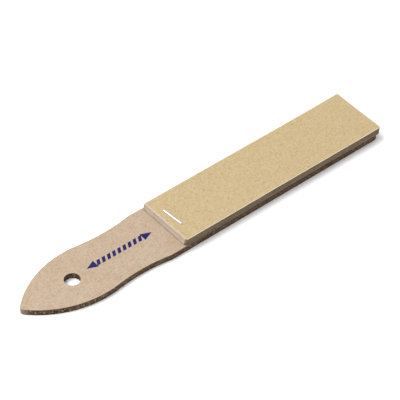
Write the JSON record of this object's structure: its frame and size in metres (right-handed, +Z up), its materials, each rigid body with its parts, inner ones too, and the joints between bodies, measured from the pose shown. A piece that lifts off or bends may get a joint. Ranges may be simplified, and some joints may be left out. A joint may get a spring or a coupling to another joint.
{
  "type": "sanding stick",
  "caption": "Flat board paddle with a leaf-shaped handle, a hanging hole and a stapled pad of tear-off abrasive sheets, for pointing pencil leads and sticks.",
  "frame": {"origin": "centre of the underside of the outline box, on the surface the stick lies on", "axes": "+X from the handle's tip along the stick to the far end of the pad, +Z up out of the pad's top sheet, +Y across the stick to the left when looking along +X"},
  "size_m": [0.1679, 0.027, 0.0063],
  "materials": {
    "board_core": "matte dense grey-brown board, seen on the cut edges",
    "kraft_liner": "matte tan kraft paper, smooth",
    "abrasive_sheet": "matte straw-coloured fine abrasive paper, mottled",
    "staple_wire": "bright drawn wire, lightly galvanised"
  },
  "bodies": {
    "paddle": {"paddle_core": "board_core", "paddle_top_liner": "kraft_liner", "paddle_bottom_liner": "kraft_liner", "staple": "staple_wire", "sheet_01_bound_end": "abrasive_sheet", "sheet_02_bound_end": "abrasive_sheet", "sheet_03_bound_end": "abrasive_sheet", "sheet_04_bound_end": "abrasive_sheet", "sheet_05_bound_end": "abrasive_sheet", "sheet_06_bound_end": "abrasive_sheet", "sheet_07_bound_end": "abrasive_sheet", "sheet_08_bound_end": "abrasive_sheet", "sheet_09_bound_end": "abrasive_sheet", "sheet_10_bound_end": "abrasive_sheet", "sheet_11_bound_end": "abrasive_sheet", "sheet_12_bound_end": "abrasive_sheet"},
    "leaf_12": {"sheet_12": "abrasive_sheet"},
    "leaf_11": {"sheet_11": "abrasive_sheet"},
    "leaf_10": {"sheet_10": "abrasive_sheet"},
    "leaf_09": {"sheet_09": "abrasive_sheet"},
    "leaf_08": {"sheet_08": "abrasive_sheet"},
    "leaf_07": {"sheet_07": "abrasive_sheet"},
    "leaf_06": {"sheet_06": "abrasive_sheet"},
    "leaf_05": {"sheet_05": "abrasive_sheet"},
    "leaf_04": {"sheet_04": "abrasive_sheet"},
    "leaf_03": {"sheet_03": "abrasive_sheet"},
    "leaf_02": {"sheet_02": "abrasive_sheet"},
    "leaf_01": {"sheet_01": "abrasive_sheet"}
  },
  "joints": [
    {"name": "sheet_12_lift", "type": "hinge", "parent": "paddle", "child": "leaf_12", "pos_m": [-0.0095, 0, 0.0057], "axis": [0, -1, 0], "range_deg": [0, 4], "stiffness_Nm_per_rad": 0.0005},
    {"name": "sheet_11_lift", "type": "hinge", "parent": "leaf_12", "child": "leaf_11", "pos_m": [-0.0095, 0, 0.0057], "axis": [0, -1, 0], "range_deg": [0, 4], "stiffness_Nm_per_rad": 0.0005},
    {"name": "sheet_10_lift", "type": "hinge", "parent": "leaf_11", "child": "leaf_10", "pos_m": [-0.0095, 0, 0.0057], "axis": [0, -1, 0], "range_deg": [0, 4], "stiffness_Nm_per_rad": 0.0005},
    {"name": "sheet_09_lift", "type": "hinge", "parent": "leaf_10", "child": "leaf_09", "pos_m": [-0.0095, 0, 0.0057], "axis": [0, -1, 0], "range_deg": [0, 4], "stiffness_Nm_per_rad": 0.0005},
    {"name": "sheet_08_lift", "type": "hinge", "parent": "leaf_09", "child": "leaf_08", "pos_m": [-0.0095, 0, 0.0057], "axis": [0, -1, 0], "range_deg": [0, 4], "stiffness_Nm_per_rad": 0.0005},
    {"name": "sheet_07_lift", "type": "hinge", "parent": "leaf_08", "child": "leaf_07", "pos_m": [-0.0095, 0, 0.0057], "axis": [0, -1, 0], "range_deg": [0, 4], "stiffness_Nm_per_rad": 0.0005},
    {"name": "sheet_06_lift", "type": "hinge", "parent": "leaf_07", "child": "leaf_06", "pos_m": [-0.0095, 0, 0.0057], "axis": [0, -1, 0], "range_deg": [0, 4], "stiffness_Nm_per_rad": 0.0005},
    {"name": "sheet_05_lift", "type": "hinge", "parent": "leaf_06", "child": "leaf_05", "pos_m": [-0.0095, 0, 0.0057], "axis": [0, -1, 0], "range_deg": [0, 4], "stiffness_Nm_per_rad": 0.0005},
    {"name": "sheet_04_lift", "type": "hinge", "parent": "leaf_05", "child": "leaf_04", "pos_m": [-0.0095, 0, 0.0057], "axis": [0, -1, 0], "range_deg": [0, 4], "stiffness_Nm_per_rad": 0.0005},
    {"name": "sheet_03_lift", "type": "hinge", "parent": "leaf_04", "child": "leaf_03", "pos_m": [-0.0095, 0, 0.0057], "axis": [0, -1, 0], "range_deg": [0, 4], "stiffness_Nm_per_rad": 0.0005},
    {"name": "sheet_02_lift", "type": "hinge", "parent": "leaf_03", "child": "leaf_02", "pos_m": [-0.0095, 0, 0.0057], "axis": [0, -1, 0], "range_deg": [0, 4], "stiffness_Nm_per_rad": 0.0005},
    {"name": "sheet_01_lift", "type": "hinge", "parent": "leaf_02", "child": "leaf_01", "pos_m": [-0.0095, 0, 0.0057], "axis": [0, -1, 0], "range_deg": [0, 100], "stiffness_Nm_per_rad": 0.0005}
  ]
}
